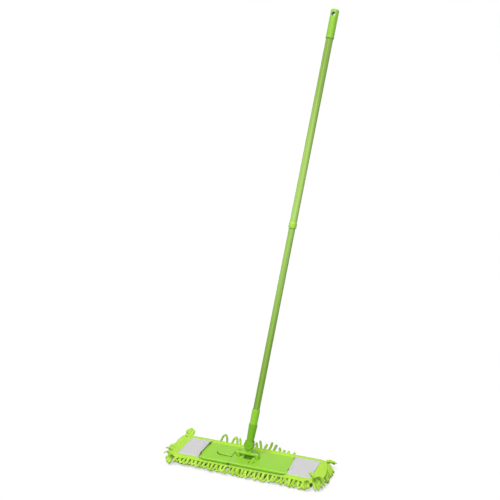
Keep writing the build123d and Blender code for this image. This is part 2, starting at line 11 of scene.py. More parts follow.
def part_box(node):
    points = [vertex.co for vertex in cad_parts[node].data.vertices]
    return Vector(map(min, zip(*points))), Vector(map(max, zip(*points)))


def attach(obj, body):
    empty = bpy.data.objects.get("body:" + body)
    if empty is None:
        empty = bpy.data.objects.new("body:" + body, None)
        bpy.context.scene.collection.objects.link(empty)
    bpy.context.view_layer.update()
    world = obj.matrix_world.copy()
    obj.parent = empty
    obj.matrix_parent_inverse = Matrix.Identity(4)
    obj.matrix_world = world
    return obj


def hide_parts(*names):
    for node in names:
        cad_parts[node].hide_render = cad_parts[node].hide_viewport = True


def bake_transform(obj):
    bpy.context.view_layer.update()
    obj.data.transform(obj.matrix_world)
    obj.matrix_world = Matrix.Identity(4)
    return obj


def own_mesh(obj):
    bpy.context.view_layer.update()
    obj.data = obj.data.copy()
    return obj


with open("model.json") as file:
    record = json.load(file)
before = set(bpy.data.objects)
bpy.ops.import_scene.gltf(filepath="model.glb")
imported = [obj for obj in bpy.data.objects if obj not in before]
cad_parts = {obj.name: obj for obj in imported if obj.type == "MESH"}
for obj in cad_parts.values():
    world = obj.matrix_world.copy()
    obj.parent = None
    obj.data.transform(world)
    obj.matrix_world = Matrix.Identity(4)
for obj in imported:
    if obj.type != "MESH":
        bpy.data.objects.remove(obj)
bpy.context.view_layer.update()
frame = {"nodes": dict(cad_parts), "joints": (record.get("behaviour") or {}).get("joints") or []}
joints = {joint["name"]: joint for joint in frame["joints"]}

# Handle tubes. Two thin drawn aluminium tubes make the handle, the upper one sliding over the lower.
# Both are lacquered apple green, faintly streaked along the draw, with fine rub lines, most of them
# on the lower tube, where the collar slides. Each is painted lighter towards the collar and darker
# towards its far end, a painted highlight and shade along the handle.


class Wire:
    """One output of a node. Arithmetic on it adds Math nodes to the same tree."""

    def __init__(self, tree, socket):
        self.tree = tree
        self.socket = socket

    def __add__(self, other):
        return self.tree.math("ADD", self, other)

    def __sub__(self, other):
        return self.tree.math("SUBTRACT", self, other)

    def __rsub__(self, other):
        return self.tree.math("SUBTRACT", other, self)

    def __mul__(self, other):
        return self.tree.math("MULTIPLY", self, other)

    def __pow__(self, other):
        return self.tree.math("POWER", self, other)

    __radd__ = __add__
    __rmul__ = __mul__


class Tree:
    """A node tree. Its node method adds any node: settings first, then socket values or links."""

    def __init__(self, data):
        self.data = data

    def node(self, kind, settings=None, sockets=None, output=0):
        made = self.data.nodes.new(kind)
        for name, value in (settings or {}).items():
            setattr(made, name, value)
        for key, value in (sockets or {}).items():
            self.feed(made.inputs[key], value)
        return Wire(self, made.outputs[output])

    def feed(self, socket, value):
        if isinstance(value, Wire):
            self.data.links.new(value.socket, socket)
        else:
            socket.default_value = value

    def math(self, operation, *values):
        return self.node("ShaderNodeMath", {"operation": operation}, dict(enumerate(values)))

    def vector(self, operation, *values, output=0):
        settings = {"operation": operation}
        return self.node("ShaderNodeVectorMath", settings, dict(enumerate(values)), output)

    def scaled(self, vector, factor):
        return self.node("ShaderNodeVectorMath", {"operation": "SCALE"}, {0: vector, "Scale": factor})

    def component(self, vector, axis):
        return self.node("ShaderNodeSeparateXYZ", {}, {"Vector": vector}, axis)

    def between(self, value, low, high):
        """0 at low, 1 at high and past it, and a soft step between them; low may be the greater."""
        sockets = {"Value": value, "From Min": low, "From Max": high}
        return self.node("ShaderNodeMapRange", {"interpolation_type": "SMOOTHSTEP"}, sockets)

    def noise(self, vector, scale, detail=2.0, stretch=None):
        """Soft noise; a stretch of less than 1 along an axis draws its pattern out that way."""
        if stretch:
            vector = self.vector("MULTIPLY", vector, stretch)
        return self.node("ShaderNodeTexNoise", {}, {"Vector": vector, "Scale": scale, "Detail": detail})


class Finish(Tree):
    """The nodes of one material, round its own Principled shader."""

    def __init__(self, name):
        self.material = bpy.data.materials.new(name)
        self.material.use_nodes = True
        super().__init__(self.material.node_tree)
        self.place = self.node("ShaderNodeTexCoord", output="Object")

    def mixed(self, factor, first, second):
        """A colour between two colours."""
        sockets = {0: factor, 6: first, 7: second}
        return self.node("ShaderNodeMix", {"data_type": "RGBA"}, sockets, output=2)

    def bump(self, height, depth, strength, normal=None):
        sockets = {"Height": height, "Distance": depth, "Strength": strength}
        if normal:
            sockets["Normal"] = normal
        return self.node("ShaderNodeBump", {}, sockets)

    def surface(self, **values):
        """Sets the shader's sockets, named with _ for a space."""
        for name, value in values.items():
            self.feed(self.data.nodes["Principled BSDF"].inputs[name.replace("_", " ")], value)
        return self.material


def paint(red, green, blue):
    """A screen colour, 0 to 255, in the linear values that shaders take."""
    shares = (value / 255 for value in (red, green, blue))
    return (*(s / 12.92 if s < 0.04 else ((s + 0.055) / 1.055) ** 2.4 for s in shares), 1.0)


def grey(level):
    """A neutral colour, in linear values."""
    return (level, level, level, 1.0)


def shade(colour, factor):
    """The same colour, darker or lighter."""
    return (*(factor * value for value in colour[:3]), 1.0)


def dress(material, *names):
    """Gives CAD nodes their finish."""
    for name in names:
        frame["nodes"][name].material_slots[0].material = material


handle_axis = Vector(joints["telescope"]["axis"])
pin_centre = Vector(joints["handle_swing"]["pos_m"])
upright_turn = handle_axis.rotation_difference(Vector((0, 0, 1))).to_euler()
upright_shift = -(upright_turn.to_matrix() @ pin_centre)


def lacquer(name, low_end, high_end, rub_share):
    """Glossy lacquer on a drawn tube; its pattern runs along the handle, measured from the joint pin.
    Each end is a height there and the lacquer's colour at it. The blend between them is a painted
    highlight and shade along the tube."""
    finish = Finish(name)
    mapping = {"Vector": finish.place, "Rotation": upright_turn, "Location": upright_shift}
    along = finish.node("ShaderNodeMapping", {}, mapping)
    # Painted highlight and shade: the colour runs from one end's colour to the other's, lighter by the
    # collar.
    painted_light_climb = finish.between(finish.component(along, "Z"), low_end[0], high_end[0])
    streaks = finish.noise(along, scale=260.0, detail=3.0, stretch=(1.0, 1.0, 0.01))
    clouds = finish.noise(along, scale=40.0, stretch=(1.0, 1.0, 0.15))
    ripple = finish.noise(along, scale=1500.0)
    scratches = finish.noise(along, scale=2200.0, stretch=(1.0, 1.0, 0.03))
    rubs = finish.between(scratches, 0.68, 0.76)
    bands = finish.mixed(finish.between(streaks, 0.25, 0.75), grey(0.8), grey(1.24))
    base = finish.vector("MULTIPLY", finish.mixed(painted_light_climb, low_end[1], high_end[1]), bands)
    base = finish.mixed(rubs * rub_share, base, paint(206, 222, 176))
    return finish.surface(
        Base_Color=base,
        Roughness=0.2 + clouds * 0.1 + rubs * 0.2,
        Specular_IOR_Level=0.25,
        Normal=finish.bump(streaks * 0.5 + ripple * 0.5, depth=0.0002, strength=0.12),
    )


# Painted highlight and shade: each tube's colour is lighter at its end by the collar.
upper_ends = (0.80, paint(185, 226, 114)), (1.22, paint(157, 198, 84))
lower_ends = (0.16, paint(131, 175, 62)), (0.60, paint(166, 208, 99))
dress(lacquer("upper_tube_lacquer", *upper_ends, rub_share=0.25), "upper_tube")
dress(lacquer("lower_tube_lacquer", *lower_ends, rub_share=0.5), "lower_tube")

# End cap, collar and ferrule. All three are injection-moulded polypropylene pushed onto the tubes,
# each in a slightly different batch of apple green. The cap has the coarsest spark texture, for the
# grip. Edges are rubbed pale, and the plastic shows faint flow marks.


def moulded(name, colour, roughness, grain=0.00018, wear=0.45, shade_reach=0.006):
    """Injection-moulded plastic, rubbed pale on its edges, with painted shade darkening its hollows.
    The grain is the depth of its texture, and the reach of the painted shade is how near a wall darkens
    it."""
    finish = Finish(name)
    rounded = finish.node("ShaderNodeBevel", {"samples": 6}, {"Radius": 0.0007})
    facing = finish.node("ShaderNodeNewGeometry", output="Normal")
    turn = 1 - finish.vector("DOT_PRODUCT", rounded, facing, output="Value")
    worn = finish.noise(finish.place, scale=130.0, detail=4.0)
    edge = finish.between(turn, 0.012, 0.12) * finish.between(worn, 0.34, 0.62)
    flow = finish.noise(finish.place, scale=22.0, detail=3.0, stretch=(1.0, 0.35, 1.0))
    spark = finish.noise(finish.place, scale=2800.0)
    scratches = finish.noise(finish.place, scale=1500.0, stretch=(0.04, 1.0, 0.3))
    scuffs = finish.between(scratches, 0.66, 0.74)
    # Painted shade: ambient occlusion darkens the colour in gaps, slits and hollows, where shade falls.
    open_sky = finish.node("ShaderNodeAmbientOcclusion", {"samples": 6}, {"Distance": shade_reach}, "AO")
    painted_shade_mask = finish.between(open_sky, 0.75, 0.3)
    base = finish.mixed(flow, shade(colour, 0.93), shade(colour, 1.06))
    base = finish.mixed(edge * wear + scuffs * 0.06, base, paint(214, 236, 160))
    base = finish.mixed(painted_shade_mask * 0.85, base, shade(colour, 0.3))
    return finish.surface(
        Base_Color=base,
        Roughness=roughness + flow * 0.1 + edge * 0.15 + scuffs * 0.12 + painted_shade_mask * 0.5,
        Specular_IOR_Level=0.4,
        Normal=finish.bump(spark * 0.7 + flow * 0.3, grain, strength=0.35, normal=rounded),
    )


# The cap's painted shade reaches further, into its hanging hole.
cap_green = moulded("cap_green", paint(164, 222, 68), 0.34, grain=0.0003, shade_reach=0.012)
dress(cap_green, "hang_cap")
dress(moulded("collar_green", paint(182, 236, 80), 0.26), "telescope_collar")
dress(moulded("ferrule_green", paint(150, 212, 46), 0.26), "tube_ferrule")

# Twist lock. A plug in the top of the lower tube carries a stem, and a split sleeve on it swells
# against the upper tube when the handle is twisted. Both are dark grey nylon, out of sight.
dress(moulded("lock_grey", paint(84, 86, 88), 0.42), "expander_sleeve", "lock_spindle")

# Two-axis joint. The tapered socket ends in a fork whose ears hold the tongue of the cross bar, so
# the handle swings sideways on a pin and tips on the bar. Socket and pin are a deeper green.
dress(moulded("joint_green", paint(118, 186, 14), 0.3, wear=0.15), "handle_socket", "joint_pin")

# Folding frame. Two ribbed polypropylene wings meet at a hinge left of the joint and are held flat
# by the claw of a foot pedal. Saddles pegged through the right wing hold the cross bar, which is of
# the same plastic. Hinge and pedal turn on pins of drawn steel wire.
frame_green = moulded("frame_green", paint(146, 204, 46), 0.36, grain=0.00025)
dress(frame_green, "right_wing", "left_wing", "saddle_left", "saddle_right", "release_pedal", "t_joint")


def drawn_wire(name, colour):
    """Bright drawn steel with fine rings."""
    finish = Finish(name)
    rings = finish.noise(finish.place, scale=4000.0, stretch=(0.05, 1.0, 0.05))
    haze = finish.noise(finish.place, scale=300.0, detail=3.0)
    return finish.surface(
        Base_Color=finish.mixed(haze, shade(colour, 0.8), colour),
        Metallic=1.0,
        Roughness=0.22 + rings * 0.16,
        Normal=finish.bump(rings, depth=0.0001, strength=0.2),
    )


pin_steel = drawn_wire("pin_steel", paint(196, 198, 200))
dress(pin_steel, "hinge_pin_front", "hinge_pin_back", "pedal_pin")


def add_object(name, data):
    """A new object in the scene, at the origin."""
    made = bpy.data.objects.new(name, data)
    bpy.context.scene.collection.objects.link(made)
    return made


leaf = add_object("leaf_spring", frame["nodes"]["pedal_spring"].data.copy())
merged = bmesh.new()
merged.from_mesh(leaf.data)
bmesh.ops.remove_doubles(merged, verts=merged.verts, dist=1e-6)
merged.to_mesh(leaf.data)
merged.free()
leaf.data.materials.clear()
leaf.data.materials.append(pin_steel)
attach(leaf, "frame_left")
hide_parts("pedal_spring")
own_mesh(leaf)

# Pad backing. The base of the pad is a doubled polyester cloth with round corners. The plate presses
# its middle flat, and its free border curls up round the plate, most of all along the front.
plate_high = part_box("right_wing")[1]
tape_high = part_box("edge_binding_right")[1]
cloth_low, cloth_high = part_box("pad_backing_right")
plate_half = plate_high.xy
pad_half = tape_high.xy
pad_corner = 0.022
front_curl, back_curl, left_curl, right_curl = 0.0048, 0.0032, 0.0046, 0.0020
curl_overlap = 0.004
front_ease, ease_from = 0.75, 0.7
front_pull = 0.004
front_rim = front_pull - pad_half.y
right_flare, right_flare_back, right_flare_front = 0.017, (0.080, -0.010), (-0.070, -0.030)
left_flare, left_flare_ends = 0.006, (0.070, 0.045)
fold_at = Vector(joints["wing_fold"]["pos_m"])


def soft_step(value, low, high):
    """0 at low, 1 at high and past it, and a soft step between them; low may be the greater."""
    share = min(max((value - low) / (high - low), 0.0), 1.0)
    return share * share * (3 - 2 * share)


def right_rim(y):
    """How far the pad's right end reaches, flared in front of its middle."""
    return pad_half.x + right_flare * soft_step(y, *right_flare_back) * soft_step(y, *right_flare_front)


def left_rim(y):
    """How far the pad's left end reaches, flared between its corners."""
    return -pad_half.x - left_flare * soft_step(abs(y), *left_flare_ends)


def pad_rise(x, y):
    """How far the pad's border stands above its flat middle. Its front curl eases towards the ends."""
    front = front_curl * soft_step(-y, plate_half.y - curl_overlap, pad_half.y)
    front *= 1 - front_ease * soft_step(abs(x), ease_from * pad_half.x, pad_half.x)
    back = back_curl * soft_step(y, plate_half.y - curl_overlap, pad_half.y)
    left = left_curl * soft_step(-x, plate_half.x, pad_half.x)
    right = right_curl * soft_step(x, plate_half.x, pad_half.x)
    return max(front, back, left, right)


def cloth_mesh(name, points, ring=False, tube=False):
    """A mesh from a grid of points, with a UV map in metres along its threads.
    A ring closes on itself along the first index, a tube along the second."""
    rows, columns = points.shape[:2]
    mesh = bpy.data.meshes.new(name)
    corners = []
    for i in range(rows if ring else rows - 1):
        for j in range(columns if tube else columns - 1):
            corners.append([(i, j), (i + 1, j), (i + 1, j + 1), (i, j + 1)])
    faces = [[(i % rows) * columns + j % columns for i, j in face] for face in corners]
    mesh.from_pydata(points.reshape(-1, 3).tolist(), [], faces)
    steps_u = np.linalg.norm(np.roll(points, -1, 0) - points, axis=2).mean(1)
    steps_v = np.linalg.norm(np.roll(points, -1, 1) - points, axis=2).mean(0)
    along = np.concatenate([[0.0], np.cumsum(steps_u)])
    across = np.concatenate([[0.0], np.cumsum(steps_v)])
    threads = mesh.uv_layers.new(name="threads")
    for k, (i, j) in enumerate(corner for face in corners for corner in face):
        threads.data[k].uv = (along[i], across[j])
    shape = bmesh.new()
    shape.from_mesh(mesh)
    bmesh.ops.recalc_face_normals(shape, faces=shape.faces)
    shape.to_mesh(mesh)
    shape.free()
    mesh.shade_smooth()
    return add_object(name, mesh)


def thicken(piece, thickness):
    """Gives a cloth its thickness, half to each side, as a plain mesh."""
    wall = piece.modifiers.new("thickness", "SOLIDIFY")
    wall.thickness = thickness
    wall.offset = 0.0
    graph = bpy.context.evaluated_depsgraph_get()
    thick = bpy.data.meshes.new_from_object(piece.evaluated_get(graph))
    piece.modifiers.clear()
    piece.data = thick


def weave(name, colour, pitch, depth, sheen, roughness=0.86):
    """Plain weave: warp and weft at a pitch in metres, on the threads of the UV map."""
    finish = Finish(name)
    threads = finish.node("ShaderNodeTexCoord", output="UV")
    wobble = finish.noise(threads, scale=60.0, detail=3.0) * 1.5
    phase = finish.scaled(threads, pi / pitch)
    warp = finish.math("SINE", finish.component(phase, "X") + wobble)
    weft = finish.math("SINE", finish.component(phase, "Y") + wobble)
    crossing = warp * weft * 0.5 + 0.5
    slub = finish.noise(threads, scale=110.0, detail=3.0, stretch=(1.0, 9.0, 1.0))
    stain = finish.noise(finish.place, scale=26.0, detail=4.0)
    base = finish.mixed(crossing * 0.35 + slub * 0.65, shade(colour, 0.88), shade(colour, 1.07))
    base = finish.mixed(finish.between(stain, 0.5, 0.8) * 0.25, base, shade(colour, 0.84))
    return finish.surface(
        Base_Color=base,
        Roughness=roughness + slub * 0.1,
        Sheen_Weight=sheen,
        Specular_IOR_Level=0.2,
        Normal=finish.bump(crossing * 0.7 + slub * 0.3, depth, strength=0.6),
    )


def dress_cloth(piece, material):
    """Gives a cloth its finish."""
    piece.data.materials.append(material)


base_inset = 0.007
base_half = pad_half - Vector((base_inset, base_inset))
base_middle = (cloth_low.z + cloth_high.z) / 2
base_lines, line_points = 141, 41


def base_half_width(x):
    """Half the base cloth's width at a place along it, narrower round the corners."""
    into_corner = max(abs(x) - (base_half.x - pad_corner), 0.0)
    return base_half.y - pad_corner + (pad_corner ** 2 - min(into_corner, pad_corner) ** 2) ** 0.5


base_grid = np.array([
    [(x, y, base_middle + pad_rise(x, y)) for y in base_half_width(x) * np.linspace(-1, 1, line_points)]
    for x in np.linspace(-base_half.x, base_half.x, base_lines)
])
base_green = weave("base_green", paint(158, 206, 72), pitch=0.0011, depth=0.0003, sheen=0.1)
backing = cloth_mesh("base_cloth", base_grid)
dress_cloth(backing, base_green)
thicken(backing, cloth_high.z - cloth_low.z)
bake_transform(backing)
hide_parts("pad_backing_left", "pad_backing_right")

# Chenille. Rows of stubby microfibre fingers are tufted through the base cloth, each a soft cord
# with a dense pile. Along the rim the cord hangs in loops, at the left end it splays in tufts, and
# a few strands along the back and at the corners have turned up.


class Pattern(Tree):
    """A Geometry Nodes tree with named inputs, grown on a mesh of points or lines."""

    def __init__(self, name, **inputs):
        super().__init__(bpy.data.node_groups.new(name, "GeometryNodeTree"))
        face = self.data.interface
        face.new_socket("Geometry", in_out="INPUT", socket_type="NodeSocketGeometry")
        for label, kind in inputs.items():
            face.new_socket(label, in_out="INPUT", socket_type="NodeSocket" + kind)
        face.new_socket("Geometry", in_out="OUTPUT", socket_type="NodeSocketGeometry")
        self.entry = self.data.nodes.new("NodeGroupInput")

    def given(self, label):
        return Wire(self, self.entry.outputs[label])

    def attribute(self, name, kind="FLOAT"):
        return self.node("GeometryNodeInputNamedAttribute", {"data_type": kind}, {"Name": name})

    def close(self, geometry, material):
        """Ends the tree with plain geometry in its finish."""
        real = self.node("GeometryNodeRealizeInstances", {}, {0: geometry})
        finished = self.node("GeometryNodeSetMaterial", {}, {"Geometry": real, "Material": material})
        self.feed(self.data.nodes.new("NodeGroupOutput").inputs[0], finished)

    def grow(self, name, start, **values):
        """The tree's result on a start mesh, as a plain mesh object."""
        carrier = add_object(name + "_start", start)
        modifier = carrier.modifiers.new("pattern", "NODES")
        modifier.node_group = self.data
        for item in self.data.interface.items_tree:
            if item.name in values:
                modifier[item.identifier] = values[item.name]
        graph = bpy.context.evaluated_depsgraph_get()
        mesh = bpy.data.meshes.new_from_object(carrier.evaluated_get(graph))
        bpy.data.objects.remove(carrier)
        return add_object(name, mesh)


def chenille_fingers():
    """Bends and swells one finger at each start point by its reach, bow and girth.
    Its rings crowd towards the tip, and no point goes below the floor."""
    tip_crowding, arch_power, root_swell = 1.6, 0.75, 0.7
    tip_from, tip_slope, tip_least = 0.8, 4.9, 0.002
    floor_gap = 0.0003
    tree = Pattern("chenille_fingers", rings="Int", sides="Int", lump_depth="Float", lump_size="Float",
                   seed="Float", finish="Material")
    line = tree.node("GeometryNodeCurvePrimitiveLine", {"mode": "POINTS"}, {"End": (0.0, 0.0, 1.0)})
    cut = tree.node("GeometryNodeResampleCurve", {"mode": "COUNT"},
                    {"Curve": line, "Count": tree.given("rings")})
    placed = tree.node("GeometryNodeInstanceOnPoints", {},
                       {"Points": tree.given("Geometry"), "Instance": cut})
    stems = tree.node("GeometryNodeRealizeInstances", {}, {0: placed})
    step = tree.node("GeometryNodeSplineParameter", output="Factor")
    marked = tree.node("GeometryNodeStoreNamedAttribute", {"data_type": "FLOAT"},
                       {"Geometry": stems, "Name": "share", "Value": 1 - (1 - step) ** tip_crowding})
    share = tree.attribute("share")
    upright = tree.node("ShaderNodeCombineXYZ", {}, {"Z": step})
    root = tree.vector("SUBTRACT", tree.node("GeometryNodeInputPosition"), upright)
    reach = tree.scaled(tree.attribute("reach", "FLOAT_VECTOR"), share)
    arch = (share * (1 - share) * 4) ** arch_power
    bow = tree.scaled(tree.attribute("bow", "FLOAT_VECTOR"), arch)
    bent_to = tree.vector("ADD", root, tree.vector("ADD", reach, bow))
    bent = tree.node("GeometryNodeSetPosition", {}, {"Geometry": marked, "Position": bent_to})
    tip = tree.math("MAXIMUM", (share - tip_from) * tip_slope, 0.0)
    swell = tree.math("MINIMUM", share * root_swell + tree.attribute("root_share"), 1.0)
    round_tip = tree.math("MAXIMUM", 1 - tip * tip * tree.attribute("free_end"), tip_least) ** 0.5
    girth = tree.attribute("girth") * swell * round_tip
    ring = tree.node("GeometryNodeCurvePrimitiveCircle", {"mode": "RADIUS"},
                     {"Resolution": tree.given("sides"), "Radius": 1.0})
    skin = tree.node("GeometryNodeCurveToMesh", {},
                     {"Curve": bent, "Profile Curve": ring, "Scale": girth, "Fill Caps": True})
    lumps = tree.node("ShaderNodeTexNoise", {"noise_dimensions": "4D"},
                      {"W": tree.given("seed"), "Scale": tree.given("lump_size"), "Detail": 1.0})
    outward = tree.scaled(tree.node("GeometryNodeInputNormal"), (lumps - 0.5) * tree.given("lump_depth"))
    lumpy = tree.node("GeometryNodeSetPosition", {}, {"Geometry": skin, "Offset": outward})
    spot = tree.node("GeometryNodeInputPosition")
    height = tree.math("MAXIMUM", tree.component(spot, "Z"), floor_gap)
    on_floor = tree.node("ShaderNodeCombineXYZ", {},
                         {"X": tree.component(spot, "X"), "Y": tree.component(spot, "Y"), "Z": height})
    standing = tree.node("GeometryNodeSetPosition", {}, {"Geometry": lumpy, "Position": on_floor})
    smooth = tree.node("GeometryNodeSetShadeSmooth", {}, {"Geometry": standing})
    tree.close(smooth, tree.given("finish"))
    return tree


def chenille_pile():
    """Dense microfibre pile, each finger its own tone; marked fingers are darkened towards the cloth, a
    painted shade.
    """
    finish = Finish("chenille_pile")
    tone = finish.node("ShaderNodeAttribute", {"attribute_name": "tone"}, output="Fac")
    share = finish.node("ShaderNodeAttribute", {"attribute_name": "share"}, output="Fac")
    root_shade = finish.node("ShaderNodeAttribute", {"attribute_name": "root_shade"}, output="Fac")
    fibre = finish.noise(finish.place, scale=1500.0, detail=3.0)
    curls = finish.node("ShaderNodeTexVoronoi", {}, {"Vector": finish.place, "Scale": 620.0})
    base = finish.mixed(finish.between(tone, 0.3, 1.0), paint(182, 228, 66), paint(208, 249, 100))
    base = finish.mixed(finish.between(tone, 0.0, 0.3), paint(140, 182, 52), base)
    # Painted shade: marked fingers darken from the cloth to three quarters of their length, where shade
    # falls.
    base = finish.mixed(root_shade * finish.between(share, 0.75, 0.15), base, paint(86, 128, 8))
    base = finish.mixed(finish.between(curls, 0.25, 0.75) * 0.3, base, paint(150, 200, 40))
    return finish.surface(
        Base_Color=base,
        Roughness=0.85 + fibre * 0.15,
        Sheen_Weight=0.35,
        Sheen_Roughness=0.5,
        Specular_IOR_Level=0.1,
        Normal=finish.bump(fibre * 0.6 - curls * 0.8, depth=0.0008, strength=0.7),
    )


finger_pitch = Vector((0.0130, 0.0124))
finger_girth = 0.0052
finger_floor = 0.0035
girth_range = (0.9, 1.08)
bright, mellow, olive = (0.3, 1.0), (0.15, 0.5), (0.0, 0.3)
draw = random.Random(4)
fingers = []


def add_finger(root, tip, bow=(0.0, 0.0, 0.0), girth=finger_girth, root_share=0.5, free_end=1.0,
               tones=bright, root_shade=0.0):
    """One finger from its root in the cloth to its tip, bowed sideways by up to bow.
    Most are bright, those that have turned up are duller, and root shade darkens a finger towards its
    root, a painted shade."""
    fingers.append({
        "root": Vector(root),
        "reach": Vector(tip) - Vector(root),
        "bow": Vector(bow),
        "girth": girth * draw.uniform(*girth_range),
        "tone": draw.uniform(*tones),
        "root_share": root_share,
        "free_end": free_end,
        "root_shade": root_shade,
    })


def stir(amount):
    """A small random shift, up to an amount either way."""
    return draw.uniform(-amount, amount)


# Inner rows, which splay at the rim. The fold line is left free, and a bunch covers one corner.
field_x, field_y = pad_half.x - 0.004, pad_half.y - 0.003
rows, columns = round(2 * field_y / finger_pitch.y), round(2 * field_x / finger_pitch.x)
root_depth = 0.001
end_zone, back_zone = (0.9, 1.0), (0.84, 1.0)
end_splay, back_splay, front_splay = (0.010, 0.016), (0.008, 0.014), (0.006, 0.011)
splay_lift, splay_bow = (0.0, 0.006), 0.003
shade_olive_rows = 2
fold_gap, fold_strip, crushed_share = 0.0095, 0.024, 0.35
bunch_at = Vector((pad_half.x - 0.010, -pad_half.y + 0.017))
bunch_reach = 0.018
under_bunch = []
for row in range(1, rows + 1):
    for column in range(columns + 1):
        across = 2 * row / rows - 1
        along = 2 * (column + 0.5 * (row % 2)) / columns - 1
        x = along * field_x + stir(0.001)
        y = across * field_y + stir(0.001)
        if along > 1:
            continue
        off_fold = x - fold_at.x
        if abs(off_fold) < fold_gap:
            x = fold_at.x + copysign(fold_gap, off_fold)
        if (Vector((x, y)) - bunch_at).length < bunch_reach:
            under_bunch.append(Vector((x, y, cloth_low.z + root_depth)))
            continue
        end = soft_step(abs(along), *end_zone) * (1 if x > 0 else -1)
        back = soft_step(across, *back_zone)
        root = Vector((x, y, cloth_low.z + root_depth + pad_rise(x, y)))
        out_x = end * draw.uniform(*end_splay) + stir(0.003)
        if abs(off_fold) < fold_strip:
            out_x = copysign(out_x, off_fold)
        out_y = back * draw.uniform(*back_splay)
        out_y -= (row == 1) * draw.uniform(*front_splay)
        out_y += stir(0.002)
        lift = abs(end) * draw.uniform(*splay_lift) + back * draw.uniform(*splay_lift)
        tip = Vector((x + out_x, y + out_y, finger_floor + lift + abs(stir(0.0015))))
        bow = (end * splay_bow + stir(0.001), back * splay_bow + stir(0.001), abs(end) * splay_bow)
        # Painted shade: inner fingers darken towards their roots, and the front rows, seen between the
        # loops, are olive.
        add_finger(root, tip, bow, tones=olive if row <= shade_olive_rows else bright, root_shade=1.0)

# Fringe of both ends: splayed tufts on the left, and on the right a short row under the loops, olive and
# darkened towards the root as painted shade.
fringe_count, tuft_size = 18, 3
fringe_half = pad_half.y - 0.010
fringe_lean, fringe_lift, fringe_swell = 0.002, 0.003, 0.7
left_inset, right_inset = 0.004, 0.006
left_girth, right_girth = 0.0050, 0.0048
left_level, right_level = (0.018, 0.026), (0.005, 0.010)
left_tufts = (0.012, 0.020, 0.026, 0.017, 0.018, 0.015)
right_reach = (0.012, 0.018)
for side in (-1, 1):
    for step in range(fringe_count):
        y = (2 * step / (fringe_count - 1) - 1) * fringe_half + stir(0.002)
        if side < 0:
            x = left_rim(y) + left_inset
            out, level = -left_tufts[step // tuft_size], draw.uniform(*left_level)
        else:
            x = pad_half.x - right_inset
            out, level = draw.uniform(*right_reach), draw.uniform(*right_level)
        root = Vector((x, y, cloth_high.z + pad_rise(x, y)))
        tip = Vector((x + out + stir(0.002), y + stir(0.003), level + stir(0.002)))
        bow = (side * fringe_lean, 0.0, fringe_lift)
        if side < 0:
            add_finger(root, tip, bow, left_girth, fringe_swell, tones=mellow)
        else:
            # Painted shade on the right end's row.
            add_finger(root, tip, bow, right_girth, fringe_swell, tones=olive, root_shade=1.0)

# Loops along the front and the right end. Every third one at the front has a loose strand beside it.
raised_from = len(fingers)
loop_pitch, loop_girth, loop_swell = 0.0132, 0.0033, 0.92
loop_stir = 0.0015
front_loops = round(2 * (pad_half.x - 0.020) / loop_pitch)
loops_left = int((pad_half.x - 0.014 + fold_at.x) / loop_pitch)
front_inset, front_root, front_skew = 0.003, 0.004, 0.006
front_out, front_clear = (0.007, 0.012), (0.002, 0.007)
shrink_zone, left_shrink = (0.06, 0.18), 0.003
strand_step, strand_girth, strand_swell = 3, 0.0040, 0.8
strand_out, strand_bow = (0.001, 0.004), 0.004


def add_loop(root, foot, bow, tones=bright, root_shade=0.0):
    """A loop of cord that hangs from two places on the rim."""
    add_finger(root, foot, bow, loop_girth, loop_swell, 0.0, tones, root_shade)


for step in range(front_loops):
    x = fold_at.x + (step - loops_left) * loop_pitch + stir(loop_stir)
    y = front_rim + front_inset
    shrink = left_shrink * soft_step(-x, *shrink_zone)
    root = Vector((x, y, cloth_high.z + front_root + pad_rise(x, y)))
    foot = root + Vector((loop_pitch + stir(0.003), 0.0, 0.0))
    drop = root.z - finger_floor - draw.uniform(*front_clear) - shrink
    out = draw.uniform(*front_out) - shrink
    add_loop(root, foot, (stir(0.003) - front_skew, -out, -drop))
    if step % strand_step == 0:
        tip = root + Vector((stir(0.004) - front_skew, -out - draw.uniform(*strand_out), -drop))
        add_finger(root, tip, (0.0, -strand_bow, 0.0), strand_girth, strand_swell)

end_front, end_back = 0.052, 0.010
end_loops = round((2 * pad_half.y - end_front - end_back) / loop_pitch)
end_inset, end_root, end_skew = 0.004, 0.003, 0.004
end_out, end_clear, end_root_shade = 0.026, (0.001, 0.006), 0.6
for step in range(end_loops):
    y = -pad_half.y + end_front + step * loop_pitch + stir(loop_stir)
    x = right_rim(y) - end_inset
    root = Vector((x, y, cloth_high.z + end_root + pad_rise(x, y)))
    foot = root + Vector((0.0, loop_pitch + stir(0.003), 0.0))
    drop = root.z - finger_floor - draw.uniform(*end_clear)
    out = pad_half.x + end_out - x + stir(0.003)
    # The right end's loops alternate mellow and olive and darken towards the root, a painted shade on this
    # side.
    add_loop(root, foot, (out, stir(0.003) - end_skew, -drop), mellow if step % 2 else olive, end_root_shade)

# Strands and loops that have turned up behind the back rim: where each starts and ends along the pad,
# and how high it stands.
back_rim = Vector((0.0, pad_half.y - 0.002, cloth_high.z + back_curl))
raised_girth, raised_swell = 0.0039, 0.9
raised_out, raised_bow = 0.008, 0.004
raised_ends = (
    (-0.057, -0.061, 0.042), (-0.003, -0.008, 0.037), (0.013, 0.006, 0.046), (0.022, 0.028, 0.038),
    (0.036, 0.045, 0.048), (0.052, 0.060, 0.042), (0.072, 0.067, 0.033), (0.084, 0.086, 0.028),
    (0.099, 0.097, 0.028), (0.116, 0.118, 0.026),
)
for start, end, height in raised_ends:
    root = back_rim + Vector((start, 0.0, 0.0))
    tip = Vector((end, pad_half.y + raised_out, height))
    add_finger(root, tip, (stir(0.002), raised_bow, 0.0), raised_girth, raised_swell, tones=olive)
arch_girth, arch_lean = 0.0035, (0.004, 0.007)
for start, end, rise in ((-0.121, -0.099, 0.025), (-0.084, -0.066, 0.023)):
    root = back_rim + Vector((start, 0.0, 0.0))
    tip = back_rim + Vector((end, 0.0, 0.0))
    add_finger(root, tip, (*arch_lean, rise), arch_girth, root_share=1.0, free_end=0.0, tones=olive)
